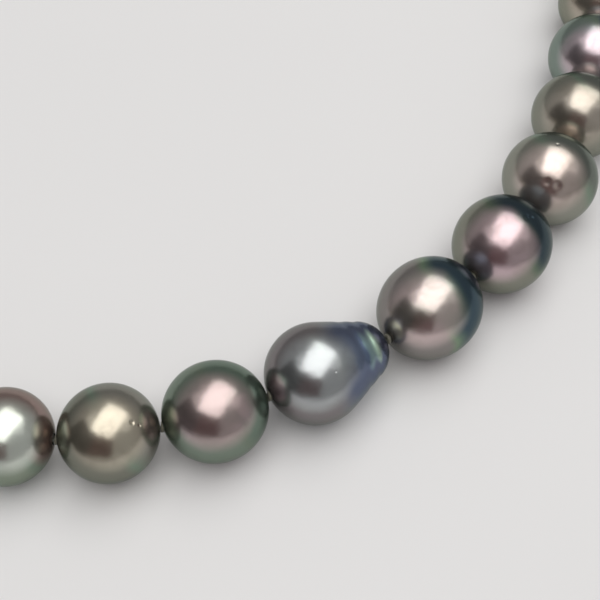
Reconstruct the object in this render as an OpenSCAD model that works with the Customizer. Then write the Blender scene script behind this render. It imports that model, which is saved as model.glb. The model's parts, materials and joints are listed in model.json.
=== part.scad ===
// Pearl necklace: graduated dark pearls, one of them a drop, tied one by one on a single silk thread.
// It lies open in a U on a flat surface, with its clasp undone. The front pearl touches the surface
// at the origin, the strand runs along X there, and both arms turn towards +Y.

/* [Pearls] */
// Pearls on each side of the front pearl
side_count = 20; // [8:1:24]
// Diameter of the front pearl, the largest
front_d = 10.9; // [9:0.1:14]
// Diameter that the pearls taper towards beside the clasp
end_d = 8.6; // [7:0.1:9]
// Pearls from the front over which half of the taper happens
taper_span = 6; // [3:0.5:10]
// How much thicker or thinner than the taper a pearl may be, as a share of its diameter
size_share = 0.03; // [0:0.005:0.05]
// How much longer or shorter than round a pearl may be along the thread, as a share of its diameter
oval_share = 0.08; // [0:0.005:0.1]

/* [Drop pearl] */
// Place of the drop pearl, counted from the front pearl, with the left side negative
drop_place = -2; // [-6:1:-1]
// Thickness of the drop pearl
drop_d = 10.5; // [9:0.1:13]
// Length of the drop pearl along the thread
drop_l = 13.4; // [12:0.1:16]
// Thickness of the drop pearl at its narrow end
drop_tip_d = 6.7; // [5:0.1:7.5]
// Depth of the two rings worn into the neck of the drop pearl
furrow_depth = 0.08; // [0.03:0.01:0.2]

/* [Thread] */
// Thickness of the silk thread
silk_d = 0.7; // [0.4:0.05:0.8]
// Room all round the thread in a drilled hole
hole_play = 0.15; // [0.05:0.01:0.2]
// Thickness of a knot
knot_d = 1.4; // [1.2:0.05:1.8]
// Room all round a knot in the mouth of a hole
knot_play = 0.1; // [0.05:0.01:0.2]
// Depth of the widened mouth at each end of a hole
mouth_depth = 0.35; // [0.2:0.05:0.6]
// Space between two pearls at a knot that is drawn tight
tight_gap = 0.25; // [0.2:0.05:0.8]
// Space between two pearls at a looser knot
loose_gap = 0.45; // [0.3:0.05:1.2]

/* [Lie] */
// Turn of the strand at each knot near the front, in degrees
front_turn = 10.8; // [4:0.1:12]
// Knots from the front over which the left side keeps that turn
left_span = 9.8; // [6:0.2:12]
// Knots from the front over which the right side keeps that turn
right_span = 1.7; // [1:0.1:4]
// Turn at each knot further along the right side, which lies in a wider curve
right_arm_turn = 4.2; // [2:0.1:5]

/* [Wire loops] */
// Radius of each loop of coiled wire, to the middle of the wire
loop_r = 2.2; // [2.2:0.1:3]
// Thickness of the coiled wire tube
gimp_d = 0.8; // [0.7:0.05:0.85]
// Wall of the coiled wire tube
gimp_wall = 0.1; // [0.06:0.01:0.12]
// Room between the silk and the inside of the coiled wire
gimp_play = 0.05; // [0.02:0.01:0.08]
// Thread between the last knot and the loop
loop_stub = 0.8; // [0.6:0.1:1.5]
// Half angle over which the coiled wire is open around the last knot
loop_open = 28; // [20:1:40]
// Room between linked rings
link_play = 0.1; // [0.05:0.01:0.2]

/* [Clasp] */
// Radius of the hook's ring, to the middle of its metal
hook_r = 4; // [3.8:0.1:5]
// Half thickness of the hook's metal
hook_tube_r = 1.5; // [1.3:0.05:1.7]
// Half thickness of the lever's metal
lever_tube_r = 1.15; // [0.9:0.05:1.3]
// Inner radius of the eye that the left wire loop passes through
eye_hole_r = 1.4; // [1.3:0.05:2]
// Half thickness of the eye's metal
eye_wire_r = 0.4; // [0.3:0.05:0.45]
// Length of the neck between the eye and the hook's ring
neck_l = 2.2; // [1.5:0.1:4]
// Thickness of the lever's pin
pin_d = 0.9; // [0.7:0.05:1.1]
// Room round the pin in the lever, and on each side of the lever in its fork
lever_play = 0.08; // [0.05:0.01:0.15]
// Radius of the lever's hub
hub_r = 1.3; // [1.1:0.05:1.5]
// Thickness of the lever's hub
hub_t = 0.7; // [0.5:0.05:0.9]
// Thickness of the spring's wire
spring_wire_d = 0.26; // [0.2:0.02:0.3]
// Opening between the lever's tip and the hook's tip
tip_gap = 0.2; // [0.1:0.05:0.4]

/* [End tag] */
// Thickness of the tag's plate
tag_t = 0.8; // [0.6:0.05:0.9]
// Width of the rim round the tag's holes
tag_rim = 0.8; // [0.7:0.05:0.9]
// Radius of the hole that the right wire loop passes through
tag_link_r = 1.4; // [1.3:0.05:2]
// Radius of the free hole, which the hook takes
tag_hole_r = 2.4; // [2:0.1:3]
// Height of the lifted end of the tag above the lowest that its wire loop allows
tag_room = 0.2; // [0.1:0.02:0.4]

/* [Hidden] */
$fn = 48;
ring_fn = 32;
golden_angle = 137.5;
half_turn = 180;
cut = 1; // how far a cutter runs past what it cuts
furrow_r = 1.1; // of the round that each worn ring is cut with
furrow_places = [0.08, 0.42]; // along the drop pearl's neck, from its tip
// How the pearls near the front use up size_share and oval_share, from the fifth on the left
front_sizes = [-0.7, -0.9, -0.5, 0, -0.3, -0.4, 0, 0.2, 0.6, 0.5];
front_ovals = [-0.1, 0.2, 0.5, 0, 1, 0.4, -0.6, -0.8, -0.5, -0.4];
gimp_r = gimp_d / 2;
hole_d = silk_d + 2 * hole_play;
mouth_d = knot_d + 2 * knot_play;
core_r = gimp_r - gimp_wall - gimp_play;
floor_gap = 0.05; // between a wire loop and the surface
pivot_angle = 150; // place of the lever's pin on the hook's ring
hook_span = 280; // of the hook's bar round its ring, before its tip is cut back
lever_from = 40; // where the lever's bar starts, before its tip is cut back
tab_angle = 100; // place of the thumb tab on the hook's ring
tab_r = 0.8;
lever_reach = 1.4 * hook_r; // from the pin to the lever's tip
fork_r = hub_r + 0.45;
slot_t = hub_t + 2 * spring_wire_d + 3 * lever_play;
slot_r = hub_r + 2 * lever_play; // of the round room for the hub
slot_from = -50; // edges of the room for the lever's arm, as directions from its pin
slot_to = pivot_angle - 87 + asin(min(1, lever_tube_r / slot_r));
hub_z = lever_play - slot_t / 2;
spring_r = (pin_d + spring_wire_d) / 2 + 2 * lever_play;
spring_z = hub_z + hub_t + lever_play + spring_wire_d / 2;

// ---- Sizes of pearl i, and of the space at knot j, both counted from the front ----
function used_share(list, i) = i >= -5 && i < 5 ? list[i + 5] : sin(golden_angle * i) / 2;
function pearl_d(i) =
    i == drop_place ? drop_d
    : (end_d + (front_d - end_d) / (1 + pow(i / taper_span, 2)))
        * (1 + size_share * used_share(front_sizes, i));
function pearl_l(i) =
    i == drop_place ? drop_l : pearl_d(i) * (1 + oval_share * used_share(front_ovals, i));
function gap(j) = j % 5 < 2 ? loose_gap : tight_gap;
function turn(side, j) = let (
    arm_turn = side > 0 ? right_arm_turn : 0,
    span = side > 0 ? right_span : left_span
) arm_turn + (front_turn - arm_turn) / (1 + pow((j + 0.5) / span, 6));

// ---- The strand's line, one side at a time: side is 1 for the right and -1 for the left ----
// Knot j lies between pearls j and j + 1, half way between their heights.
function knot_z(side, j) =
    (pearl_d(side * j) + pearl_d(side * min(j + 1, side_count))) / 4;
function link_l(side, j) = (gap(j - 1) + gap(j)) / 2 + pearl_l(side * j);
function heading(side, j) =
    j < 0 ? 0
    : [for (k = 0, h = turn(side, 0); k <= j; k = k + 1, h = h + turn(side, k)) h][j];
function link_run(side, j) =
    sqrt(pow(link_l(side, j), 2) - pow(knot_z(side, j) - knot_z(side, j - 1), 2));
function first_knot(side) =
    [side * (pearl_l(0) + gap(0)) / 2, 0, knot_z(side, 0)];
function link_step(side, j) = let (a = heading(side, j - 1), run = link_run(side, j))
    [side * run * cos(a), run * sin(a), knot_z(side, j) - knot_z(side, j - 1)];
function knot_line(side) =
    [for (j = 0, p = first_knot(side); j <= side_count; j = j + 1, p = p + link_step(side, j)) p];

right_knots = knot_line(1);
left_knots = knot_line(-1);
function knots(side) = side > 0 ? right_knots : left_knots;
function middle_way(p, q) = (p + q) / norm(p + q);
function way(p, q) = (q - p) / norm(q - p);

// ---- The wire loops and what hangs on them ----
last_z = pearl_d(side_count) / 2;
loop_z = loop_r + gimp_r + floor_gap;
loop_tilt = asin((last_z - loop_z) / (loop_stub + loop_r));
eye_r = eye_hole_r + eye_wire_r;
tag_link_mid = tag_link_r + tag_rim / 2;
tag_rim_half = norm([tag_rim, tag_t]) / 2;
lift = gimp_d + link_play + floor_gap; // lowest that a wire loop allows the metal linked through it
clasp_z = max(hook_tube_r, lift + eye_wire_r);
tag_lift = lift + tag_rim_half + tag_room;
// How far past a loop's middle the metal linked through it lies, for metal of half thickness half
// at height z
function link_x(half, z) =
    sqrt(max(0, pow(loop_r - gimp_r - half - link_play, 2) - pow(loop_z - z, 2)));
loop_x = (loop_stub + loop_r) * cos(loop_tilt);
eye_x = loop_x + link_x(eye_wire_r, clasp_z) + eye_r;
rim_x = loop_x + link_x(tag_rim_half, tag_lift);
tag_big_x = tag_link_mid + tag_rim / 2 + tag_hole_r;
tag_reach = tag_link_mid + tag_big_x + tag_hole_r + tag_rim;
tag_tilt = asin(tag_lift / norm([tag_reach, tag_t / 2])) - atan(tag_t / 2 / tag_reach);

// ---- Node names ----
function two_digits(n) = n < 10 ? str("0", n) : str(n);
function pearl_name(i) =
    i == 0 ? "pearl_front"
    : i == drop_place ? str("pearl_left_", two_digits(-i), "_drop")
    : str(i > 0 ? "pearl_right_" : "pearl_left_", two_digits(abs(i)));
PEARLS = [for (i = [-side_count:side_count]) pearl_name(i)];
CLASP = ["clasp_hook", "clasp_lever", "clasp_pin", "clasp_spring", "end_tag"];

// ---- Placing ----
// Puts its children at p, with their +Z along the direction v.
module point_along(p, v) {
    translate(p)
        rotate([0, acos(v.z / norm(v)), atan2(v.y, v.x)])
            children();
}

// Puts its children past the last knot of a side: origin at the last pearl's axis above the
// surface, +X along the strand, +Z up.
module at_end(side) {
    a = heading(side, side_count - 1);
    last = knots(side)[side_count];
    translate([last.x, last.y, 0])
        rotate([0, 0, side > 0 ? a : half_turn - a])
            children();
}

// ---- Pearls ----
// Round pearl along +Z from the origin: a ball drawn out or pressed along the thread.
module round_pearl(d, l) {
    translate([0, 0, l / 2])
        scale([1, 1, l / d])
            sphere(d = d);
}

// Half outline of the drop pearl: two rounds and the straight line that touches both.
module drop_outline(big_r, tip_r, apart, touch) {
    intersection() {
        union() {
            translate([0, tip_r])
                circle(tip_r);
            translate([0, tip_r + apart])
                circle(big_r);
            polygon([
                [0, tip_r],
                [0, tip_r] + tip_r * touch,
                [0, tip_r + apart] + big_r * touch,
                [0, tip_r + apart]
            ]);
        }
        translate([0, -cut])
            square([drop_d, drop_l + 2 * cut]);
    }
}

// Drop pearl along +Z, narrow end first, with two rings worn into its neck.
module drop_pearl() {
    big_r = drop_d / 2;
    tip_r = drop_tip_d / 2;
    apart = drop_l - big_r - tip_r;
    lean = asin((big_r - tip_r) / apart);
    touch = [cos(lean), -sin(lean)];
    rotate_extrude()
        difference() {
            drop_outline(big_r, tip_r, apart, touch);
            for (share = furrow_places)
                translate(
                    [0, tip_r + apart * share]
                    + (tip_r + (big_r - tip_r) * share + furrow_r - furrow_depth) * touch
                )
                    circle(furrow_r);
        }
}

// Drilled hole of length l with a widened mouth at each end.
module thread_hole(l) {
    translate([0, 0, -cut])
        cylinder(h = l + 2 * cut, d = hole_d);
    translate([0, 0, -cut])
        cylinder(h = cut + mouth_depth, d = mouth_d);
    translate([0, 0, l - mouth_depth])
        cylinder(h = cut + mouth_depth, d = mouth_d);
}

function pearl_color(i) =
    ["#6f6a66", "#7d6a68", "#66716d", "#76706a", "#5f6b70"][(i + 2 * side_count) % 5];

module drilled_pearl(i) {
    color(i == drop_place ? "#5c6072" : pearl_color(i))
        difference() {
            if (i == drop_place)
                drop_pearl();
            else
                round_pearl(pearl_d(i), pearl_l(i));
            thread_hole(pearl_l(i));
        }
}

module pearl(i) {
    side = i < 0 ? -1 : 1;
    j = abs(i);
    line = knots(side);
    start = i == 0 ? left_knots[0] : line[j - 1];
    v = way(start, i == 0 ? right_knots[0] : line[j]);
    point_along(start + v * gap(max(j - 1, 0)) / 2, v)
        drilled_pearl(i);
}

// ---- Thread ----
module knot(l) {
    intersection() {
        sphere(d = 1.12 * max(l, knot_d));
        cylinder(h = l, d = knot_d, center = true);
    }
}

module thread_between(p, q) {
    point_along(p, q - p)
        cylinder(h = norm(q - p), d = silk_d);
}

// One side's thread, from its first knot to the loop inside the coiled wire.
module thread_side(side) {
    line = knots(side);
    for (j = [0:side_count]) {
        before = j > 0 ? way(line[j - 1], line[j]) : [side, 0, 0];
        after = j < side_count ? way(line[j], line[j + 1]) : before;
        point_along(line[j], middle_way(before, after))
            knot(gap(j) + 2 * (mouth_depth - knot_play));
        if (j > 0)
            thread_between(line[j - 1], line[j]);
    }
    at_end(side)
        translate([0, 0, last_z])
            rotate([0, loop_tilt, 0]) {
                rotate([0, 90, 0])
                    cylinder(h = loop_stub, r = core_r);
                translate([loop_stub + loop_r, 0, 0])
                    rotate([90, 0, 0])
                        rotate_extrude()
                            translate([loop_r, 0])
                                circle(core_r);
            }
}

module silk_thread() {
    color("#6d6b5c")
        union() {
            thread_between(left_knots[0], right_knots[0]);
            thread_side(-1);
            thread_side(1);
        }
}

// ---- Loop of fine coiled wire that sheathes the silk where the clasp pulls on it ----
module wire_loop(side) {
    color("#c9c6be")
        at_end(side)
            translate([0, 0, last_z])
                rotate([0, loop_tilt, 0])
                    translate([loop_stub + loop_r, 0, 0])
                        rotate([90, half_turn - loop_open, 0])
                            rotate_extrude(angle = 360 - 2 * loop_open)
                                translate([loop_r, 0])
                                    difference() {
                                        circle(gimp_r, $fn = ring_fn);
                                        circle(gimp_r - gimp_wall, $fn = ring_fn);
                                    }
}

// ---- Clasp, in its own frame: the eye's middle at the origin, lying flat, hook towards +X ----
ring_x = eye_r + neck_l + hook_r;
pivot = [ring_x + hook_r * cos(pivot_angle), hook_r * sin(pivot_angle), 0];

module at_clasp() {
    at_end(-1)
        translate([eye_x, 0, clasp_z])
            children();
}

// Round bar bent about the hook ring's middle, from angle a over an angle of span.
module bent_bar(tube_r, a, span) {
    translate([ring_x, 0, 0])
        rotate([0, 0, a])
            rotate_extrude(angle = span)
                translate([hook_r, 0])
                    circle(tube_r, $fn = ring_fn);
}

// Slot that the lever's hub, its spring and its arm move in.
module lever_slot() {
    translate(pivot) {
        cylinder(h = slot_t, r = slot_r, center = true);
        rotate([0, 0, slot_from])
            translate([0, 0, -slot_t / 2])
                rotate_extrude(angle = slot_to - slot_from)
                    square([fork_r + cut, slot_t]);
    }
}

// What the lever's tip sweeps: a round about its pin, on the tip's side of the hook only.
module tip_sweep(r) {
    intersection() {
        translate(pivot)
            cylinder(h = 4 * hook_tube_r, r = r, center = true);
        translate([ring_x, 0, -2 * hook_tube_r])
            rotate([0, 0, 20])
                rotate_extrude(angle = 90)
                    square([hook_r + 2 * hook_tube_r, 4 * hook_tube_r]);
    }
}

module pin_bore(d) {
    translate(pivot)
        cylinder(h = 4 * hook_tube_r, d = d, center = true);
}

module clasp_hook() {
    color("#dcdde0")
        at_clasp()
            difference() {
                union() {
                    rotate_extrude()
                        translate([eye_r, 0])
                            circle(eye_wire_r, $fn = ring_fn);
                    translate([eye_r, 0, 0])
                        rotate([0, 90, 0])
                            cylinder(h = neck_l, r1 = eye_wire_r, r2 = hook_tube_r);
                    bent_bar(hook_tube_r, pivot_angle, hook_span);
                    translate(pivot)
                        cylinder(h = 2 * hook_tube_r, r = fork_r, center = true);
                }
                tip_sweep(lever_reach + tip_gap);
                lever_slot();
                pin_bore(pin_d);
            }
}

// The lever is full and round past the fork, and as thin as its hub inside it.
module clasp_lever() {
    color("#dcdde0")
        at_clasp()
            difference() {
                union() {
                    intersection() {
                        difference() {
                            bent_bar(lever_tube_r, lever_from, pivot_angle - lever_from);
                            translate(pivot)
                                cylinder(h = 4 * hook_tube_r, r = fork_r + lever_play, center = true);
                        }
                        translate(pivot)
                            cylinder(h = 4 * hook_tube_r, r = lever_reach, center = true);
                    }
                    intersection() {
                        bent_bar(lever_tube_r, lever_from, pivot_angle - lever_from);
                        translate(pivot + [0, 0, hub_z])
                            cylinder(h = hub_t, r = fork_r + 1);
                    }
                    translate(pivot + [0, 0, hub_z])
                        cylinder(h = hub_t, r = hub_r);
                    translate([ring_x, 0, 0])
                        rotate([0, 0, tab_angle])
                            translate([hook_r + lever_tube_r, 0, 0])
                                sphere(r = tab_r);
                }
                pin_bore(pin_d + 2 * lever_play);
            }
}

module clasp_pin() {
    color("#b9babd")
        at_clasp()
            translate(pivot)
                cylinder(h = 2 * hook_tube_r, d = pin_d, center = true);
}

// Spring of two turns round the pin, beside the lever's hub.
module clasp_spring() {
    color("#9a9b9e")
        at_clasp()
            for (turn_number = [0:1])
                translate(pivot + [0, 0, spring_z + turn_number * 0.9 * spring_wire_d])
                    rotate_extrude()
                        translate([spring_r, 0])
                            circle(d = spring_wire_d, $fn = ring_fn);
}

// ---- Figure-eight plate: a small hole on the right wire loop, and a large one for the hook ----
module end_tag() {
    color("#dcdde0")
        at_end(1)
            translate([rim_x, 0, tag_lift])
                rotate([0, tag_tilt, 0])
                    difference() {
                        union() {
                            translate([tag_link_mid, 0, 0])
                                cylinder(h = tag_t, r = tag_link_r + tag_rim, center = true);
                            translate([tag_link_mid + tag_big_x, 0, 0])
                                cylinder(h = tag_t, r = tag_hole_r + tag_rim, center = true);
                        }
                        translate([tag_link_mid, 0, 0])
                            cylinder(h = tag_t + 2 * cut, r = tag_link_r, center = true);
                        translate([tag_link_mid + tag_big_x, 0, 0])
                            cylinder(h = tag_t + 2 * cut, r = tag_hole_r, center = true);
                    }
}

for (i = [-side_count:side_count])
    pearl(i);
silk_thread();
wire_loop(-1);  // wire_loop_left
wire_loop(1);  // wire_loop_right
clasp_hook();
clasp_lever();
clasp_pin();
clasp_spring();
end_tag();
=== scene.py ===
"""Strand of graduated dark pearls: every pearl, knot, wire loop and clasp part, dressed and lit.

Lengths are in metres and the frame is the CAD model's own. Every pearl has its own axis, from
the knot before it to the knot after it, and both ends of that axis come from the joints.
"""

import json
import logging
import math
from collections.abc import Iterable, Sequence
from dataclasses import dataclass, field, replace
from enum import Enum

import bpy
import numpy as np
from mathutils import Matrix, Vector, noise

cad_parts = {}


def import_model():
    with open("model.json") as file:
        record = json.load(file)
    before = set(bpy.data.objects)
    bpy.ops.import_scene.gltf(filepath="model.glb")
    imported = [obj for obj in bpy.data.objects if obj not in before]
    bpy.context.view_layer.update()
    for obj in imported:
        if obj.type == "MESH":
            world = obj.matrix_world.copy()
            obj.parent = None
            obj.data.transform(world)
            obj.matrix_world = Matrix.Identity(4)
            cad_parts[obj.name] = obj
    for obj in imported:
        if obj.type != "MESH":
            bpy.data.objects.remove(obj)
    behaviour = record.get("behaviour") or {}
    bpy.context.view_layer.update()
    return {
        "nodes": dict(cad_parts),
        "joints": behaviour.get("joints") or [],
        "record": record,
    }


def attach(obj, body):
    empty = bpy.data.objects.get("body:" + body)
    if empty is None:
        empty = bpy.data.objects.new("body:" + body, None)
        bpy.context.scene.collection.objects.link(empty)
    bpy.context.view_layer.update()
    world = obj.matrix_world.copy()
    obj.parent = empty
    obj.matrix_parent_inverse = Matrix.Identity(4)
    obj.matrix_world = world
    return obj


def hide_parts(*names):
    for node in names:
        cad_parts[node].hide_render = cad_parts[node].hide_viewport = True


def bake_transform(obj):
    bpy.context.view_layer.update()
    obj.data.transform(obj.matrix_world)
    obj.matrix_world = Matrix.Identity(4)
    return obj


LOG = logging.getLogger("necklace")
MM = 0.001
Colour = tuple[float, float, float]


# ---- Shader maths ----
class Socket:
    """One output in a node tree, on which plain arithmetic adds Math nodes."""

    def __init__(self, tree: "Tree", out: bpy.types.NodeSocket) -> None:
        """Keeps the tree and the output that this stands for."""
        self.tree = tree
        self.out = out

    def _math(self, operation: str, *values: "Socket | float") -> "Socket":
        """One Math node on these values, in their order."""
        return self.tree.node("Math", {"operation": operation}, dict(enumerate(values)))

    def __add__(self, other: "Socket | float") -> "Socket":
        """Sum of the two."""
        return self._math("ADD", self, other)

    def __sub__(self, other: "Socket | float") -> "Socket":
        """This less the other."""
        return self._math("SUBTRACT", self, other)

    def __mul__(self, other: "Socket | float") -> "Socket":
        """Product of the two."""
        return self._math("MULTIPLY", self, other)

    def __truediv__(self, other: "Socket | float") -> "Socket":
        """This over the other."""
        return self._math("DIVIDE", self, other)

    def __pow__(self, other: float) -> "Socket":
        """This raised to a power."""
        return self._math("POWER", self, other)

    def step(self, low: float, high: float) -> "Socket":
        """Smooth step of this value.

        Args:
            low: the value at which the result is 0.
            high: the value at which it is 1; it may be below low.

        Returns:
            A mask from 0 to 1.
        """
        return self.tree.node(
            "MapRange",
            {"interpolation_type": "SMOOTHSTEP", "clamp": True},
            {0: self, 1: low, 2: high, 3: 0.0, 4: 1.0},
        )


class Tree:
    """The node tree of one material."""

    def __init__(self, material: bpy.types.Material) -> None:
        """Empties the material's tree, ready for its nodes."""
        material.use_nodes = True
        self.tree = material.node_tree
        self.tree.nodes.clear()

    def node(
        self,
        kind: str,
        settings: dict | None = None,
        inputs: dict | None = None,
        output: int | str = 0,
    ) -> Socket:
        """Adds a node.

        Args:
            kind: the node's type, without its ShaderNode prefix.
            settings: its properties, set before anything else; stops are a ramp's stops.
            inputs: values or sockets by input name or number.
            output: which output the result stands for.

        Returns:
            That output.
        """
        made = self.tree.nodes.new("ShaderNode" + kind)
        for key, value in (settings or {}).items():
            if key == "stops":
                self._stops(made.color_ramp, value)
            else:
                setattr(made, key, value)
        for key, value in (inputs or {}).items():
            socket = made.inputs[key]
            if isinstance(value, Socket):
                self.tree.links.new(value.out, socket)
            elif socket.type == "RGBA":
                socket.default_value = (*value, 1.0)
            else:
                socket.default_value = value
        return Socket(self, made.outputs[output])

    @staticmethod
    def _stops(ramp: bpy.types.ColorRamp, stops: Sequence[tuple[float, Colour]]) -> None:
        """Gives a ramp these stops, in order."""
        while len(ramp.elements) > 1:
            ramp.elements.remove(ramp.elements[0])
        for number, (place, colour) in enumerate(stops):
            element = ramp.elements[0] if number == 0 else ramp.elements.new(place)
            element.position = place
            element.color = (*colour, 1.0)

    def ramp(self, value: Socket, *stops: tuple[float, Colour]) -> Socket:
        """Colours picked along a value."""
        return self.node("ValToRGB", {"stops": stops}, {0: value})

    def mix(self, share: Socket | float, a: Socket | Colour, b: Socket | Colour) -> Socket:
        """Colour a turning to colour b by a share."""
        return self.node(
            "Mix", {"data_type": "RGBA", "clamp_factor": True}, {0: share, 6: a, 7: b}, 2
        )

    def place(self) -> Socket:
        """Place on the piece, in its own frame."""
        return self.node("TexCoord", output="Object")

    def apart(self, place: Socket, axis: str) -> Socket:
        """One coordinate of a place: X, Y or Z."""
        return self.node("SeparateXYZ", {}, {0: place}, axis)

    def distance(self, place: Socket, point: Sequence[float]) -> Socket:
        """How far a place is from a point."""
        return self.node(
            "VectorMath", {"operation": "DISTANCE"}, {0: place, 1: tuple(point)}, "Value"
        )

    def across(self, place: Socket) -> Socket:
        """How far a place is from the piece's own upright axis."""
        x, y = self.apart(place, "X"), self.apart(place, "Y")
        return (x * x + y * y) ** 0.5

    def toward(self, place: Socket, way: Sequence[float]) -> Socket:
        """How far a place lies along a direction."""
        return self.node(
            "VectorMath", {"operation": "DOT_PRODUCT"}, {0: place, 1: tuple(way)}, "Value"
        )

    def noise(
        self, place: Socket, size: float, seed: float, detail: float = 2.0, warp: float = 0.0
    ) -> Socket:
        """Soft noise about 0.5.

        Args:
            place: where it is read.
            size: the size of its patches, in metres.
            seed: which noise it is.
            detail: octaves of finer noise.
            warp: how far it is pulled about.

        Returns:
            Its value.
        """
        return self.node(
            "TexNoise",
            {"noise_dimensions": "4D"},
            {
                "Vector": place,
                "W": seed,
                "Scale": 1.0 / size,
                "Detail": detail,
                "Distortion": warp,
            },
        )

    def bump(self, height: Socket, depth: float, normal: Socket | None = None) -> Socket:
        """Normal that a height bends.

        Args:
            height: from 0 to 1.
            depth: what a height of 1 stands for, in metres.
            normal: the normal that it starts from.

        Returns:
            The normal.
        """
        inputs = {"Height": height, "Distance": depth, "Strength": 1.0}
        if normal is not None:
            inputs["Normal"] = normal
        return self.node("Bump", {}, inputs)

    def finish(self, shader: Socket) -> None:
        """Sends a shader to the material's output."""
        made = self.tree.nodes.new("ShaderNodeOutputMaterial")
        self.tree.links.new(shader.out, made.inputs["Surface"])


# ---- Finishes ----
@dataclass(frozen=True)
class Finish:
    """A surface finish, which makes one material."""

    name: str

    def shader(self, tree: Tree) -> Socket:
        """Builds the finish's nodes and returns its shader."""
        raise NotImplementedError

    def material(self) -> bpy.types.Material:
        """Makes the material, or finds the one made before."""
        made = bpy.data.materials.get(self.name)
        if made is None:
            made = bpy.data.materials.new(self.name)
            tree = Tree(made)
            tree.finish(self.shader(tree))
        return made


@dataclass(frozen=True)
class Dimple:
    """A small round dent in a pearl, on the side that faces a given way."""

    way: Colour
    size: float = 0.5 * MM
    depth: float = 0.1 * MM

    def point(self, radius: float, half: float) -> Vector:
        """Its middle on a pearl of this radius and half length, from the pearl's middle."""
        way = Vector(self.way).normalized()
        return Vector((way.x * radius, way.y * radius, way.z * half))


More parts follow.
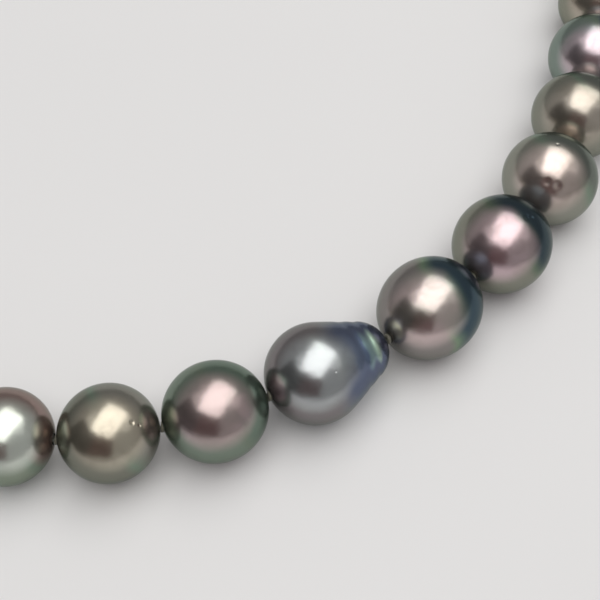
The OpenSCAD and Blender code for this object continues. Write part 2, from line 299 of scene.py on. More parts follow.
@dataclass(frozen=True)
class NacreFinish(Finish):
    """Dark nacre: a satin metal-like lustre whose colour turns from its heart to its rim."""

    heart: Colour = (0.3, 0.27, 0.26)
    blush: Colour = (0.33, 0.25, 0.26)
    shade: Colour = (0.16, 0.18, 0.17)
    rim: Colour = (0.12, 0.2, 0.17)
    # painted shade: the next four fields colour the side of the pearl that faces one fixed way
    shade_side_rim: Colour = (0.08, 0.13, 0.19)
    between: Colour = (0.2, 0.26, 0.2)
    shade_side: Colour = (0.0, 0.0, 1.0)
    shade_side_depth: float = 0.0
    rim_from: float = 0.1
    rim_to: float = 0.45
    lustre: float = 0.88
    roughness: float = 0.255
    pits: float = 0.6
    seed: float = 1.0
    radius: float = 5 * MM
    half: float = 5 * MM
    # painted shade inside the bore and its mouth: a dark, dull colour within bore of the pearl's
    # axis
    bore_shade: Colour = (0.03, 0.028, 0.024)
    bore: float = 0.66 * MM
    swell_size: float = 1.6 * MM
    swell_depth: float = 0.04 * MM
    pit_gap: float = 2.4 * MM
    grain_size: float = 0.16 * MM
    grain_share: float = 0.006
    fine_depth: float = 0.05 * MM
    zone_size: float = 6 * MM
    band_size: float = 3 * MM
    band_wander: float = 0.16
    band_blend: float = 0.12
    cloud_size: float = 2.2 * MM
    cloud_share: float = 0.35
    mottle_size: float = 0.9 * MM
    mottle_share: float = 0.05
    side_size: float = 5 * MM
    side_wander: float = 0.6
    coat_roughness: float = 0.12
    dimples: tuple[Dimple, ...] = ()
    tip_bands_and_flash: tuple[tuple[float, Colour], ...] = ()

    def relief(self, tree: Tree, place: Socket) -> Socket:
        """Swells, pits, fine grain and dimples, as a normal."""
        swell = tree.noise(place, self.swell_size, self.seed + 3.0, 1.0)
        normal = tree.bump(swell, self.swell_depth)
        cells = tree.node(
            "TexVoronoi",
            {"voronoi_dimensions": "4D"},
            {"Vector": place, "W": self.seed, "Scale": 1 / self.pit_gap, "Randomness": 1.0},
        )
        pit = cells.step(0.06, 0.02)
        grain = tree.noise(place, self.grain_size, self.seed + 7.0, 3.0)
        fine = pit * (-self.pits) + grain * self.grain_share
        for dimple in self.dimples:
            away = tree.distance(place, dimple.point(self.radius, self.half))
            fine = fine - away.step(dimple.size / 2, 0.0) * (dimple.depth / self.fine_depth)
        return tree.bump(fine, self.fine_depth, normal)

    def heart_colour(self, tree: Tree, place: Socket) -> Socket:
        """Colour seen straight on, with its soft zones, its bands if it has any (on the drop, a
        painted highlight flash and then its own colours), and clouds.
        """
        zone = tree.noise(place, self.zone_size, self.seed, 1.5, 0.3).step(0.4, 0.6)
        colour = tree.mix(zone, self.heart, self.blush)
        # the drop's bands: a painted highlight flash near the narrow end, then indigo and silver
        if self.tip_bands_and_flash:
            along = tree.apart(place, "Z") / (2 * self.half) + 0.5
            wander = tree.noise(place, self.band_size, self.seed + 2.0, 2.0) - 0.5
            ragged = along + wander * self.band_wander
            last = self.tip_bands_and_flash[-1][0]
            share = ragged.step(last, last - self.band_blend)
            colour = tree.mix(share, colour, tree.ramp(ragged, *self.tip_bands_and_flash))
        cloud = tree.noise(place, self.cloud_size, self.seed + 5.0, 3.0, 0.4).step(0.45, 0.75)
        return tree.mix(cloud * self.cloud_share, colour, self.shade)

    def lobe(
        self, tree: Tree, place: Socket, colour: Socket, shared: dict, tint: Colour, coat: float,
        coat_ior: float,
    ) -> Socket:
        """One satin lobe, painted dark and dull inside the bore: painted shade in the drill hole
        and its mouth.

        Args:
            tree: the tree it is built in.
            place: the place on the pearl.
            colour: its colour outside the bore.
            shared: what both lobes take: their roughness and normal.
            tint: its tint where it is seen edge on.
            coat: how much clear coat it has.
            coat_ior: the coat's refractive index.

        Returns:
            Its shader.
        """
        # painted shade: within the bore's radius of the axis the colour turns dark and the metal
        # dull
        outside = tree.across(place).step(self.bore * 0.9, self.bore)
        return tree.node(
            "BsdfPrincipled",
            {},
            {
                **shared,
                "Base Color": tree.mix(outside, self.bore_shade, colour),
                "Metallic": outside * self.lustre,
                "Specular Tint": tint,
                "Coat Weight": coat,
                "Coat Roughness": self.coat_roughness,
                "Coat IOR": coat_ior,
            },
        )

    def shader(self, tree: Tree) -> Socket:
        """Two satin lobes, one seen straight on and one towards the rim, each with painted shade
        on the side that faces one fixed way.
        """
        place = tree.place()
        normal = self.relief(tree, place)
        mottle = tree.noise(place, self.mottle_size, self.seed + 9.0, 3.0)
        roughness = mottle * self.mottle_share + (self.roughness - self.mottle_share / 2)
        # painted shade: the side of the pearl facing one fixed way is painted in darker colours,
        # in the heart and at the rim
        side = tree.toward(place, self.shade_side) / self.radius
        wander = tree.noise(place, self.side_size, self.seed + 11.0, 1.0) - 0.5
        side = side + wander * self.side_wander
        shade_side_share = side.step(0.4, 0.95) * self.shade_side_depth
        zone = tree.ramp(shade_side_share, (0.15, self.between), (0.6, self.shade_side_rim))
        front = tree.mix(shade_side_share.step(0.0, 0.5), self.heart_colour(tree, place), zone)
        # painted shade at the rim: the rim colour, then the between colour, then the painted
        # shade colour towards that side
        side = side.step(0.0, 0.5)
        rims = tree.ramp(side, (0.0, self.rim), (0.4, self.between), (1.0, self.shade_side_rim))
        shared = {"Roughness": roughness, "Normal": normal}
        heart = self.lobe(tree, place, front, shared, (0.75, 0.95, 0.85), 0.35, 1.45)
        edge = self.lobe(tree, place, rims, shared, (0.56, 0.6, 0.56), 0.2, 1.4)
        facing = tree.node("LayerWeight", {}, {"Blend": 0.5}, "Facing")
        return tree.node(
            "MixShader", {}, {0: facing.step(self.rim_from, self.rim_to), 1: heart, 2: edge}
        )


@dataclass(frozen=True)
class SilkFinish(Finish):
    """Waxed silk cord: grey-olive plies with a soft sheen."""

    light: Colour = (0.2, 0.19, 0.14)
    dark: Colour = (0.07, 0.07, 0.055)

    def shader(self, tree: Tree) -> Socket:
        """Fine fibre noise and wider worn patches, darker and lighter at random."""
        place = tree.place()
        fibre = tree.noise(place, 0.07 * MM, 1.0, 3.0, 0.6)
        worn = tree.noise(place, 0.8 * MM, 2.0, 2.0)
        return tree.node(
            "BsdfPrincipled",
            {},
            {
                "Base Color": tree.mix(fibre * 0.7 + worn * 0.3, self.dark, self.light),
                "Roughness": worn * 0.2 + 0.45,
                "Sheen Weight": 0.4,
                "Sheen Roughness": 0.4,
                "Normal": tree.bump(fibre, 0.03 * MM),
            },
        )


@dataclass(frozen=True)
class MetalFinish(Finish):
    """Polished or drawn metal with hairlines and soft smudges."""

    bright: Colour = (0.8, 0.79, 0.77)
    dull: Colour = (0.6, 0.59, 0.57)
    roughness: float = 0.16
    hairline: float = 0.02
    seed: float = 1.0

    def shader(self, tree: Tree) -> Socket:
        """Metal whose gloss and tone both wander, with hairlines at one slant."""
        place = tree.place()
        smudge = tree.noise(place, 1.8 * MM, self.seed, 3.0, 0.5)
        squeezed = tree.node(
            "Mapping", {}, {0: place, 2: (0.3, 0.2, 0.6), 3: (1.0, 14.0, 1.0)}
        )
        hair = tree.noise(squeezed, 0.9 * MM, self.seed + 4.0, 4.0, 0.2)
        return tree.node(
            "BsdfPrincipled",
            {},
            {
                "Base Color": tree.mix(smudge.step(0.35, 0.7), self.bright, self.dull),
                "Metallic": 1.0,
                "Roughness": smudge * 0.14 + hair * 0.08 + (self.roughness - 0.1),
                "Normal": tree.bump(hair, self.hairline * MM),
            },
        )


@dataclass(frozen=True)
class FloorFinish(Finish):
    """Pale matt floor."""

    def shader(self, tree: Tree) -> Socket:
        """Warm white with a breath of unevenness."""
        cloud = tree.noise(tree.place(), 60 * MM, 5.0, 3.0)
        return tree.node(
            "BsdfPrincipled",
            {},
            {
                "Base Color": tree.mix(cloud, (0.74, 0.738, 0.745), (0.77, 0.768, 0.775)),
                "Roughness": 0.9,
                "Specular IOR Level": 0.2,
            },
        )


# ---- Meshes ----
def sheet_faces(rows: int, columns: int, loop_rows: bool) -> list[tuple[int, int, int, int]]:
    """Faces of a grid of points that closes round its columns.

    Args:
        rows: how many rings.
        columns: how many points each ring has.
        loop_rows: whether the last ring joins the first.

    Returns:
        Each face's four points.
    """
    faces = []
    for row in range(rows if loop_rows else rows - 1):
        here, there = row * columns, (row + 1) % rows * columns
        for column in range(columns):
            beside = (column + 1) % columns
            faces.append((here + column, here + beside, there + beside, there + column))
    return faces


def ring_piece(
    name: str, rings: np.ndarray, loop_rows: bool = False, capped: bool = True
) -> bpy.types.Object:
    """A smooth piece from rings of points.

    Args:
        name: the piece's name.
        rings: points, by ring, by place round it, by coordinate.
        loop_rows: whether the last ring joins the first.
        capped: whether open ends are closed.

    Returns:
        The piece.
    """
    rows, columns, _ = rings.shape
    faces = sheet_faces(rows, columns, loop_rows)
    if capped and not loop_rows:
        faces.append(tuple(reversed(range(columns))))
        faces.append(tuple(range((rows - 1) * columns, rows * columns)))
    mesh = bpy.data.meshes.new(name)
    mesh.from_pydata(rings.reshape(-1, 3).tolist(), [], faces)
    mesh.shade_smooth()
    mesh.update()
    piece = bpy.data.objects.new(name, mesh)
    bpy.context.scene.collection.objects.link(piece)
    return piece


def frames_along(path: np.ndarray, first: Vector) -> list[tuple[Vector, Vector]]:
    """Two crosswise directions at each point of a path, turning as little as they can.

    Args:
        path: the points.
        first: roughly the first direction at the start.

    Returns:
        A pair of unit vectors for each point.
    """
    ahead = np.gradient(path, axis=0)
    across = first
    pairs = []
    for step in ahead:
        tangent = Vector(step).normalized()
        across = (across - tangent * across.dot(tangent)).normalized()
        pairs.append((across.copy(), tangent.cross(across)))
    return pairs


@dataclass
class Ply:
    """A cord of twisted plies, as a cross-section that turns as it goes."""

    radius: float
    plies: int = 3
    lay: float = 1.6 * MM
    depth: float = 0.16
    columns: int = 12

    def rings(self, path: np.ndarray) -> np.ndarray:
        """Rings of the cord's surface along a path."""
        runs = np.concatenate([[0], np.cumsum(np.linalg.norm(np.diff(path, axis=0), axis=1))])
        rows = []
        for point, run, (u, v) in zip(path, runs, frames_along(path, Vector((0.1, 0.2, 1)))):
            row = []
            for column in range(self.columns):
                turn = math.tau * column / self.columns
                lobe = abs(math.cos(self.plies / 2 * (turn - math.tau * run / self.lay)))
                reach = self.radius * (1 - self.depth * (1 - lobe))
                row.append(Vector(point) + (u * math.cos(turn) + v * math.sin(turn)) * reach)
            rows.append(row)
        return np.array(rows)


# ---- The strand ----
class Side(Enum):
    """The two sides of the strand, seen from its front pearl."""

    LEFT = "left"
    RIGHT = "right"


@dataclass
class Strand:
    """Where the CAD model's knots, pearls and joints are."""

    joints: list[dict]
    nodes: dict[str, bpy.types.Object]
    record: dict
    knots: dict[Side, list[Vector]] = field(default_factory=dict)

    def __post_init__(self) -> None:
        """Reads each side's knots, in order from the front, off the joints."""
        places = {joint["name"]: Vector(joint["pos_m"]) for joint in self.joints}
        for side in Side:
            found = sorted(
                name
                for name in places
                if name.startswith(side.value) and name.endswith(("_lift", "_turn"))
            )
            self.knots[side] = [places[name] for name in found]
            self.knots[side].append(places[f"{side.value}_wire_loop_swing"])

    def count(self, side: Side) -> int:
        """How many pearls a side has."""
        return len(self.knots[side]) - 1

    def body(self, side: Side, number: int) -> str:
        """The body of the pearl at this place on a side."""
        if number == 0:
            return "front"
        if number > self.count(side):
            return f"wire_loop_{side.value}"
        return f"{side.value}_{number:02d}"

    def node(self, side: Side, number: int) -> str:
        """The CAD node of the pearl at this place on a side."""
        if number == 0:
            return "pearl_front"
        start = f"pearl_{side.value}_{number:02d}"
        return next(name for name in self.nodes if name.startswith(start))

    def slot(self, node: str) -> str:
        """The record's material slot of a CAD node."""
        parts = self.record["subparts"]
        return next(part["material_slot"] for part in parts if part["node"] == node)

    def ends(self, side: Side, number: int) -> tuple[Vector, Vector]:
        """The knots before and after a pearl, from left to right for the front pearl."""
        if number == 0:
            return self.knots[Side.LEFT][0], self.knots[Side.RIGHT][0]
        return self.knots[side][number - 1], self.knots[side][number]


@dataclass
class Pearl:
    """One pearl: a turned form, a little off round, with a bore and a widened mouth."""

    node: str
    body: str
    slot: str
    start: Vector
    end: Vector
    finish: NacreFinish
    columns: int = 72
    rows: int = 60
    bore: float = 0.5 * MM
    lip: float = 0.6 * MM
    mouth_depth: float = 0.35 * MM
    uneven: float = 0.012
    ball_from: float = 0.7

    def __post_init__(self) -> None:
        """Measures the CAD solid along the pearl's axis."""
        axis = (self.end - self.start).normalized()
        points = np.empty(len(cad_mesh(self.node).vertices) * 3, np.float32)
        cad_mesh(self.node).vertices.foreach_get("co", points)
        points = points.reshape(-1, 3) - np.array(self.start)
        along = points @ np.array(axis)
        away = np.linalg.norm(points - np.outer(along, np.array(axis)), axis=1)
        self.axis = axis
        self.low, self.high = float(along.min()), float(along.max())
        self.mouth = float(away[along < self.low + 0.02 * MM].min())
        tips = (along < self.low + 0.02 * MM) | (along > self.high - 0.02 * MM)
        outer = (away > self.mouth * 1.01) | (tips & (away > self.mouth * 0.99))
        order = np.argsort(along[outer])
        self.along, self.away = along[outer][order], away[outer][order]

    @property
    def middle(self) -> Vector:
        """The pearl's middle."""
        return self.start + self.axis * (self.low + self.high) / 2

    @property
    def half(self) -> float:
        """Half of its length."""
        return (self.high - self.low) / 2

    @property
    def radius(self) -> float:
        """Half of its thickness."""
        return float(self.away.max())

    def outline(self) -> np.ndarray:
        """The closed outline that is turned: the outside, then the bore back to the start.

        Near both ends the CAD form is a ball, on which the square of the distance from the
        pearl's middle runs evenly along the axis, so that square is what is read there.
        """
        turns = np.linspace(0, math.pi, self.rows)
        lean = math.asin(min(1.0, self.mouth / self.radius))
        turns = lean + turns / math.pi * (math.pi - 2 * lean)
        middle = (self.low + self.high) / 2
        along = middle - np.cos(turns) * self.half / math.cos(lean)
        away = np.interp(along, self.along, self.away)
        bow = self.away**2 + (self.along - middle) ** 2
        ball = np.interp(along, self.along, bow) - (along - middle) ** 2
        ends = np.abs(along - middle) > self.ball_from * self.half
        away = np.where(ends, np.sqrt(np.maximum(ball, self.mouth**2)), self.soften(away))
        outside = np.stack([away, along - middle], axis=1)
        half = self.half
        between = (self.lip + self.mouth) / 2
        lip = np.array([[self.lip, half + 0.02 * MM], [between, half + 0.01 * MM]])
        outside = np.concatenate([lip * (1, -1), outside, lip[::-1]])
        mouth = [
            (self.lip - 0.03 * MM, half - 0.06 * MM),
            (self.lip * 0.92, half - self.mouth_depth),
        ]
        bore = [(self.bore, half - 1.3 * self.mouth_depth), (self.bore, 0.0)]
        back = mouth + bore
        inside = back + [(away, -z) for away, z in reversed(back[:-1])]
        return np.concatenate([outside, np.array(inside)])

    def soften(self, away: np.ndarray) -> np.ndarray:
        """Eases the worn rings of an outline, which real nacre never has sharp."""
        padded = np.pad(away, 1, mode="edge")
        eased = (padded[:-2] + 2 * away + padded[2:]) / 4
        eased[[0, -1]] = away[[0, -1]]
        return np.minimum(eased, away + 0.02 * MM)

    def build(self) -> bpy.types.Object:
        """Makes the pearl's piece, in place, riding on its body."""
        outline = self.outline()
        rows = []
        for number, (away, z) in enumerate(outline):
            row = []
            for column in range(self.columns):
                turn = math.tau * column / self.columns
                spot = Vector((away * math.cos(turn), away * math.sin(turn), z))
                if number < self.rows + 4:
                    way = spot / self.radius * 0.9 + Vector((self.finish.seed * 7.3, 0, 0))
                    ease = min(1.0, (away - self.mouth) / (1.2 * MM))
                    dent = 0.5 + 0.5 * noise.noise(way)
                    spot = spot * (1 - self.uneven * dent * max(0.0, ease))
                row.append(spot)
            rows.append(row)
        piece = ring_piece(self.node.replace("pearl", "nacre"), np.array(rows), loop_rows=True)
        turn = self.axis.to_track_quat("Z", "Y").to_matrix().to_4x4()
        piece.matrix_world = Matrix.Translation(self.middle) @ turn
        piece.data.materials.append(self.finish.material())
        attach(piece, self.body)
        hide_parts(self.node)
        return piece


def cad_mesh(node: str) -> bpy.types.Mesh:
    """The mesh of a CAD node."""
    return bpy.data.objects[node].data


@dataclass
class Thread:
    """The silk: a knot between every two pearls and the thread through each bore."""

    strand: Strand
    finish: SilkFinish = SilkFinish("waxed_silk")
    radius: float = 0.3 * MM
    knot_radius: float = 0.57 * MM
    strand_radius: float = 0.2 * MM

    def knot_path(self, at: Vector, before: Vector, after: Vector, length: float) -> np.ndarray:
        """Path of the thread through one overhand knot.

        Args:
            at: the knot's middle.
            before: the middle of the pearl before it.
            after: the middle of the pearl after it.
            length: the knot's own length.

        Returns:
            Points from one pearl's middle to the other's.
        """
        ahead = (after - before).normalized()
        across = ahead.cross(Vector((0, 0, 1))).normalized()
        over = across.cross(ahead)
        enter, leave = at - ahead * length / 2, at + ahead * length / 2
        run_in = [before.lerp(enter, share) for share in np.linspace(0, 1, 14)[:-1]]
        run_out = [leave.lerp(after, share) for share in np.linspace(0, 1, 14)[1:]]
        ring = self.knot_radius - self.strand_radius
        middle = []
        for share in np.linspace(0, 1, 52):
            reach = ring * min(1.0, math.sin(math.pi * share) * 2.6)
            turn = math.tau * 2.6 * share
            along = length * (share - 0.5) + 0.22 * length * math.sin(math.tau * 1.5 * share)
            along = max(-0.5 * length, min(0.5 * length, along))
            middle.append(
                at
                + ahead * along
                + (across * math.cos(turn) + over * math.sin(turn)) * reach
            )
        return np.array([list(p) for p in run_in + middle + run_out])

    def build_knot(self, side: Side, number: int) -> bpy.types.Object:
        """Makes one knot with the thread to both sides of it."""
        at = self.strand.knots[side][number]
        before = sum(self.strand.ends(side, number), Vector()) / 2
        last = number == self.strand.count(side)
        ahead = (at - before).normalized()
        if last:
            after = at + ahead * 0.6 * MM
        else:
            after = sum(self.strand.ends(side, number + 1), Vector()) / 2
        path = self.knot_path(at, before, after, 0.8 * MM)
        rings = Ply(self.strand_radius, columns=12, lay=1.1 * MM).rings(path)
        piece = ring_piece(f"silk_{side.value}_{number + 1:02d}", rings)
        piece.data.materials.append(self.finish.material())
        bodies = self.strand.body(side, number), self.strand.body(side, number + 1)
        reach = ahead * 0.35 * MM
        at - reach
        at + reach
        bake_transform(piece)
        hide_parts("silk_thread")
        return piece

    def build(self) -> None:
        """Makes every knot of both sides."""
        for side in Side:
            for number in range(self.strand.count(side) + 1):
                self.build_knot(side, number)
            LOG.info("silk, %s side: %d knots", side.value, self.strand.count(side) + 1)


@dataclass
class WireLoop:
    """A loop of fine coiled wire with the silk running through it."""

    strand: Strand
    side: Side
    finish: MetalFinish = MetalFinish("coiled_wire", (0.78, 0.76, 0.72), (0.5, 0.48, 0.45), 0.24)
    wire_radius: float = 0.055 * MM
    pitch: float = 0.125 * MM
    core_radius: float = 0.24 * MM

    def measure(self) -> tuple[Vector, Vector, Vector, float, float]:
        """Middle, two directions in its plane, radius and tube radius of the CAD loop."""
        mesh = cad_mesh(f"wire_loop_{self.side.value}")
        points = np.array([v.co for v in mesh.vertices])
        knot = self.strand.knots[self.side][-1]
        _, _, turned = np.linalg.svd(points - points.mean(0), full_matrices=False)
        normal = Vector(turned[2])
        before = self.strand.ends(self.side, self.strand.count(self.side))[0]
        out = Vector(points.mean(0)) - knot
        out = (out - normal * out.dot(normal)).normalized()
        up = normal.cross(out)
        flat = (points - np.array(knot)) @ np.array([list(out), list(up), list(normal)]).T
        tube = float(np.abs(flat[:, 2]).max())
        top = float(flat[:, 0].max())
        half = float(np.abs(flat[:, 1]).max())
        radius = half - tube
        middle = knot + out * (top - half)
        return middle, out, up, radius, tube

    def build(self) -> None:
        """Makes the coil and the silk inside it."""
        middle, out, up, radius, tube = self.measure()
        normal = out.cross(up)
        open_half = math.radians(28)
        length = radius * (math.tau - 2 * open_half)
        turns = int(length / self.pitch)
        points = []
        for share in np.linspace(0, 1, turns * 12):
            at = math.pi + open_half + share * (math.tau - 2 * open_half)
            ray = out * math.cos(at) + up * math.sin(at)
            wind = math.tau * turns * share
            lift = ray * math.cos(wind) + normal * math.sin(wind)
            points.append(middle + ray * radius + lift * (tube - self.wire_radius))
        path = np.array([list(p) for p in points])
        rings = Ply(self.wire_radius, plies=2, depth=0.0, columns=6).rings(path)
        coil = ring_piece(f"coiled_loop_{self.side.value}", rings)
        coil.data.materials.append(self.finish.material())
        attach(coil, f"wire_loop_{self.side.value}")
        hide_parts(f"wire_loop_{self.side.value}")
        self.build_core(middle, out, up, radius)
        LOG.info("wire loop, %s side: %d turns of wire", self.side.value, turns)

    def build_core(self, middle: Vector, out: Vector, up: Vector, radius: float) -> None:
        """Makes the silk that runs round inside the coil and back to the last knot."""
        knot = self.strand.knots[self.side][-1]
        round_points = []
        for at in np.linspace(math.pi + 0.42, 3 * math.pi - 0.42, 90):
            round_points.append(middle + (out * math.cos(at) + up * math.sin(at)) * radius)
        start = knot + out * 0.4 * MM
        path = [start.lerp(round_points[0], s) for s in np.linspace(0, 1, 6)[:-1]]
        path += round_points
        path += [round_points[-1].lerp(start, s) for s in np.linspace(0, 1, 6)[1:]]
        cord = Ply(self.core_radius, columns=10, lay=1.3 * MM)
        rings = cord.rings(np.array([list(p) for p in path]))
        core = ring_piece(f"silk_loop_{self.side.value}", rings)
        core.data.materials.append(SilkFinish("waxed_silk").material())
        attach(core, f"wire_loop_{self.side.value}")
        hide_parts("silk_thread")


@dataclass
class Clasp:
    """The hook clasp and the end tag, whose CAD solids stay and get their metals."""

    nodes: dict[str, bpy.types.Object]
    polished: MetalFinish = MetalFinish("white_gold", (0.84, 0.83, 0.81), (0.7, 0.69, 0.67), 0.17)
    pin: MetalFinish = MetalFinish(
        "pin_metal", (0.7, 0.69, 0.67), (0.5, 0.5, 0.49), 0.26, 0.03, 4.0
    )
    spring: MetalFinish = MetalFinish(
        "spring_metal", (0.5, 0.5, 0.52), (0.3, 0.3, 0.31), 0.3, 0.03, 6.0
    )

    def build(self) -> None:
        """Gives each metal node its finish."""
        finishes = {
            "clasp_hook": self.polished,
            "clasp_lever": replace(self.polished, name="white_gold_lever", seed=2.0),
            "end_tag": replace(self.polished, name="white_gold_tag", seed=3.0),
            "clasp_pin": self.pin,
            "clasp_spring": self.spring,
        }
        for node, finish in finishes.items():
            mesh = self.nodes[node].data
            mesh.materials.clear()
            mesh.materials.append(finish.material())
            LOG.info("%s: %s", node, finish.name)


# ---- The pearls' own colours ----
class Tone(Enum):
    """Body tones of the pearls, by the record's slot."""

    TAUPE = "nacre_taupe"
    ROSE = "nacre_rose"
    GREEN = "nacre_green"
    CHAMPAGNE = "nacre_champagne"
    SILVER = "nacre_silver"
    VIOLET = "nacre_violet"


@dataclass(frozen=True)
class Look:
    """One pearl's colours: straight on, in its patches, and at its two rims, the second of which
    is painted shade.

    Far is the way that the painted shade side faces, in the row frame.
    """

    heart: Colour
    blush: Colour
    shade: Colour
    rim: Colour
    shade_side_rim: Colour
    far: Colour = (0.89, -0.33, 0.32)
    between: Colour = (0.2, 0.26, 0.2)
    shade_side_depth: float = 0.0
    dimples: tuple[Dimple, ...] = ()


LOOKS: dict[Tone, Look] = {
    Tone.TAUPE: Look(
        (0.5, 0.45, 0.38), (0.46, 0.38, 0.31), (0.24, 0.2, 0.15),
        (0.26, 0.26, 0.21), (0.2, 0.19, 0.16)
    ),
    Tone.ROSE: Look(
        (0.56, 0.42, 0.44), (0.5, 0.41, 0.38), (0.26, 0.2, 0.19),
        (0.3, 0.31, 0.26), (0.05, 0.09, 0.11)
    ),
    Tone.GREEN: Look(
        (0.54, 0.42, 0.42), (0.42, 0.4, 0.33), (0.2, 0.22, 0.18),
        (0.13, 0.23, 0.17), (0.08, 0.16, 0.14)
    ),
    Tone.CHAMPAGNE: Look(
        (0.62, 0.52, 0.48), (0.52, 0.43, 0.38), (0.3, 0.25, 0.21),
        (0.28, 0.29, 0.24), (0.17, 0.19, 0.17)
    ),
    Tone.SILVER: Look(
        (0.6, 0.63, 0.57), (0.5, 0.53, 0.46), (0.3, 0.31, 0.27),
        (0.27, 0.32, 0.26), (0.2, 0.25, 0.21)
    ),
    Tone.VIOLET: Look(
        (0.5, 0.55, 0.54), (0.38, 0.38, 0.44), (0.22, 0.22, 0.28),
        (0.2, 0.19, 0.2), (0.12, 0.12, 0.17)
    ),
}

# Pearls near the front with a character of their own, by place from the front, left negative.
OWN_LOOKS: dict[int, Look] = {
    -5: Look(
        (0.66, 0.7, 0.64), (0.52, 0.55, 0.48), (0.32, 0.34, 0.29),
        (0.24, 0.28, 0.22), (0.3, 0.22, 0.2)
    ),
    -4: Look(
        (0.5, 0.46, 0.37), (0.42, 0.36, 0.29), (0.22, 0.19, 0.14),
        (0.2, 0.2, 0.165), (0.26, 0.25, 0.22),
        dimples=(Dimple((0.22, -0.56, 0.8), 0.7 * MM), Dimple((0.3, -0.66, 0.69), 0.5 * MM)),
    ),
    -3: Look(
        (0.6, 0.45, 0.48), (0.45, 0.36, 0.35), (0.17, 0.19, 0.16),
        (0.19, 0.235, 0.19), (0.15, 0.2, 0.16),
        between=(0.18, 0.22, 0.17),
    ),
    -2: Look(
        (0.52, 0.57, 0.56), (0.42, 0.44, 0.45), (0.24, 0.23, 0.24),
        (0.22, 0.2, 0.205), (0.11, 0.13, 0.2),
        (0.75, -0.6, 0.3),
        (0.2, 0.2, 0.22),
        dimples=(Dimple((-0.33, -0.47, 0.82), 0.35 * MM), Dimple((-0.25, -0.53, 0.81), 0.3 * MM)),
    ),
    -1: Look(
        (0.62, 0.5, 0.49), (0.48, 0.44, 0.4), (0.2, 0.21, 0.17),
        (0.25, 0.23, 0.22), (0.045, 0.075, 0.1),
        (0.78, -0.55, 0.3),
        (0.2, 0.28, 0.19),
        0.8,
    ),
    0: Look(
        (0.6, 0.46, 0.49), (0.5, 0.39, 0.4), (0.24, 0.18, 0.17),
        (0.24, 0.24, 0.2), (0.035, 0.055, 0.07),
        (0.85, -0.3, 0.43),
        (0.14, 0.18, 0.13),
        0.9,
        dimples=(
            Dimple((0.2, -0.32, 0.93), 1.3 * MM, 0.14 * MM),
            Dimple((0.28, -0.36, 0.89), 0.9 * MM),
        ),
    ),
    1: Look(
        (0.64, 0.54, 0.5), (0.48, 0.4, 0.36), (0.26, 0.22, 0.18),
        (0.28, 0.28, 0.24), (0.15, 0.165, 0.145),
        dimples=(
            Dimple((-0.7, -0.23, 0.68), 1.3 * MM, 0.07 * MM),
            Dimple((-0.62, -0.44, 0.65), 1.4 * MM, 0.07 * MM),
            Dimple((0.06, 0.05, 1.0), 0.6 * MM),
        ),
    ),
    2: Look(
        (0.5, 0.45, 0.39), (0.4, 0.36, 0.3), (0.24, 0.21, 0.17),
        (0.25, 0.25, 0.21), (0.16, 0.17, 0.15)
    ),
    3: Look(
        (0.6, 0.5, 0.54), (0.44, 0.43, 0.47), (0.2, 0.21, 0.22),
        (0.22, 0.27, 0.24), (0.11, 0.13, 0.18)
    ),
}

# Bands along the drop, from its narrow end: a green flash on the neck, which is a painted
# highlight, then the drop's own indigo, then silver.
TIP_BANDS_AND_PAINTED_FLASH = (
    (0.0, (0.24, 0.32, 0.3)),
    (0.07, (0.72, 0.84, 0.56)),
    (0.19, (0.56, 0.85, 0.74)),
    (0.25, (0.15, 0.21, 0.33)),
    (0.34, (0.22, 0.28, 0.39)),
    (0.46, (0.36, 0.4, 0.44)),
)


def flat_mesh(name: str, width: float, depth: float) -> bpy.types.Mesh:
    """A flat rectangle about its own middle."""
    mesh = bpy.data.meshes.new(name)
    signs = ((-1, -1), (1, -1), (1, 1), (-1, 1))
    mesh.from_pydata([(x * width / 2, y * depth / 2, 0) for x, y in signs], [], [(0, 1, 2, 3)])
    return mesh


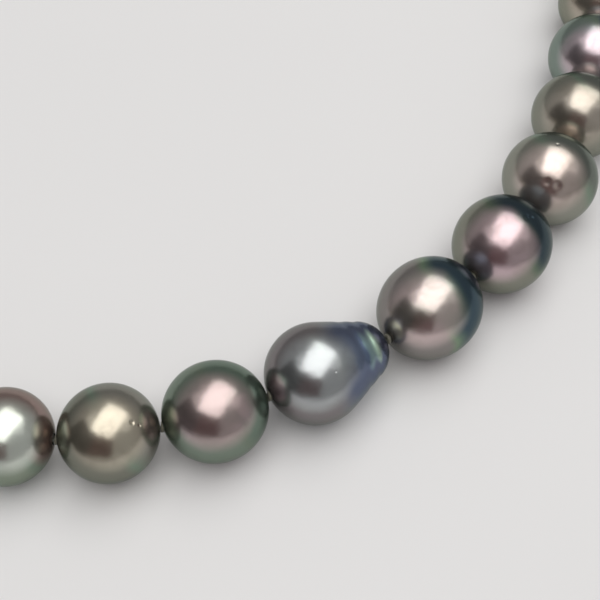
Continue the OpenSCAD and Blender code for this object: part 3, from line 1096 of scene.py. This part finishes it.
# ---- The studio ----
class Studio:
    """Camera, lights, floor and the cards that the pearls mirror."""

    def __init__(self) -> None:
        """Keeps the scene."""
        self.scene = bpy.context.scene

    def camera(self) -> None:
        """Camera at the viewing angle: it looks down over the front of the strand."""
        azimuth, elevation, distance = math.radians(50.3), math.radians(56.0), 127.1 * MM
        target = Vector((-16.8 * MM, 14.5 * MM, 0))
        look = Vector(
            (
                math.sin(azimuth) * math.cos(elevation),
                math.cos(azimuth) * math.cos(elevation),
                -math.sin(elevation),
            )
        )
        data = bpy.data.cameras.new("camera")
        data.angle = math.radians(29.26)
        data.clip_start = 1 * MM
        made = bpy.data.objects.new("camera", data)
        self.scene.collection.objects.link(made)
        made.matrix_world = Matrix.Translation(target - look * distance) @ look.to_track_quat(
            "-Z", "Y"
        ).to_matrix().to_4x4()
        self.scene.camera = made

    def softbox(
        self, name: str, at: Vector, aim: Vector, size: tuple[float, float], power: float,
        turn: float = 0.0, colour: Colour = (1, 1, 1),
    ) -> None:
        """Adds a soft rectangular light.

        Args:
            name: its name.
            at: where it is.
            aim: the point that it faces.
            size: its two sides.
            power: its power in watts.
            turn: how far it is turned about its own axis, in degrees.
            colour: its colour.
        """
        data = bpy.data.lights.new(name, "AREA")
        data.shape = "RECTANGLE"
        data.size, data.size_y = size
        data.energy = power
        data.color = colour
        made = bpy.data.objects.new(name, data)
        self.scene.collection.objects.link(made)
        made.matrix_world = (
            Matrix.Translation(at)
            @ (aim - at).to_track_quat("-Z", "Y").to_matrix().to_4x4()
            @ Matrix.Rotation(math.radians(turn), 4, "Z")
        )

    def card(
        self, name: str, at: Vector, aim: Vector, size: tuple[float, float], colour: Colour
    ) -> None:
        """Adds a card that only mirrors see, such as what stands beside the camera.

        Args:
            name: its name.
            at: where it is.
            aim: the point that it faces.
            size: its two sides.
            colour: how bright it looks.
        """
        mesh = flat_mesh(name, *size)
        material = bpy.data.materials.new(name)
        tree = Tree(material)
        tree.finish(tree.node("Emission", {}, {"Color": colour, "Strength": 1.0}))
        mesh.materials.append(material)
        made = bpy.data.objects.new(name, mesh)
        self.scene.collection.objects.link(made)
        made.matrix_world = Matrix.Translation(at) @ (aim - at).to_track_quat(
            "Z", "Y"
        ).to_matrix().to_4x4()
        made.visible_camera = False
        made.visible_diffuse = False
        made.visible_shadow = False
        made.visible_transmission = False

    def floor(self, size: float = 3.0) -> None:
        """Adds the pale floor."""
        mesh = flat_mesh("floor", size, size)
        mesh.materials.append(FloorFinish("pale_floor").material())
        made = bpy.data.objects.new("floor", mesh)
        self.scene.collection.objects.link(made)

    def world(self) -> None:
        """An even, dim room."""
        world = bpy.data.worlds.new("room")
        self.scene.world = world
        world.use_nodes = True
        world.node_tree.nodes["Background"].inputs[0].default_value = (0.3, 0.297, 0.295, 1)
        world.node_tree.nodes["Background"].inputs[1].default_value = 1.0

    def build(self) -> None:
        """Sets up everything that isn't the necklace."""
        self.scene.view_settings.view_transform = "Standard"
        self.camera()
        self.floor()
        self.world()
        middle = Vector((-10 * MM, 12 * MM, 0))
        daylight, skylight = (1.0, 0.985, 0.96), (1.0, 0.985, 0.97)
        wine, dark = (0.05, 0.01, 0.01), (0.0, 0.0, 0.0)
        over, far_over = Vector((0.03, -0.02, 0.5)), Vector((0.03, -0.05, 0.6))
        self.softbox("window", over, middle, (0.5, 0.8), 2.25, 52.0, daylight)
        self.softbox("long_window", far_over, middle, (0.5, 1.3), 0.8, 12.0, skylight)
        self.card("wine_card", Vector((-0.28, -0.11, 0.16)), middle, (0.3, 0.26), wine)
        self.card("dark_card", Vector((-0.28, 0.13, 0.13)), middle, (0.32, 0.3), dark)
        LOG.info("studio ready")


def pearl_finish(strand: Strand, side: Side, number: int, node: str) -> NacreFinish:
    """The finish of one pearl.

    Args:
        strand: the strand it is on.
        side: its side.
        number: its place on that side.
        node: its CAD node.

    Returns:
        Its own finish.
    """
    place = number if side is Side.RIGHT else -number
    look = OWN_LOOKS.get(place) or LOOKS[Tone(strand.slot(node))]
    start, end = strand.ends(side, number)
    turn = (end - start).to_track_quat("Z", "Y").inverted()
    # the way of the painted shade side, turned into the pearl's own frame
    far = turn @ Vector(look.far).normalized()
    return NacreFinish(
        name=f"nacre_of_{node}",
        heart=look.heart,
        blush=look.blush,
        shade=look.shade,
        rim=look.rim,
        shade_side_rim=look.shade_side_rim,
        between=look.between,
        shade_side=tuple(far),
        shade_side_depth=look.shade_side_depth,
        dimples=tuple(replace(d, way=tuple(turn @ Vector(d.way))) for d in look.dimples),
        seed=place * 1.7 + 40.0,
        tip_bands_and_flash=TIP_BANDS_AND_PAINTED_FLASH if node.endswith("drop") else (),
    )


def build_pearls(strand: Strand) -> None:
    """Makes every pearl of the strand."""
    places = [(Side.LEFT, n) for n in range(strand.count(Side.LEFT), 0, -1)]
    places += [(Side.RIGHT, n) for n in range(strand.count(Side.RIGHT) + 1)]
    for side, number in places:
        node = strand.node(side, number)
        start, end = strand.ends(side, number)
        pearl = Pearl(
            node=node,
            body=strand.body(side, number),
            slot=strand.slot(node),
            start=start,
            end=end,
            finish=pearl_finish(strand, side, number, node),
        )
        pearl.finish = replace(pearl.finish, radius=pearl.radius, half=pearl.half)
        pearl.build()
        LOG.info("%s: %.2f mm thick", node, pearl.radius * 2 / MM)


def main() -> None:
    """Builds the necklace round the CAD frame and sets the studio."""
    logging.basicConfig(level=logging.INFO, format="%(message)s")
    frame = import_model()
    strand = Strand(frame["joints"], frame["nodes"], frame["record"])
    build_pearls(strand)
    Thread(strand).build()
    for side in Side:
        WireLoop(strand, side).build()
    Clasp(frame["nodes"]).build()
    Studio().build()


if __name__ == "__main__":
    main()
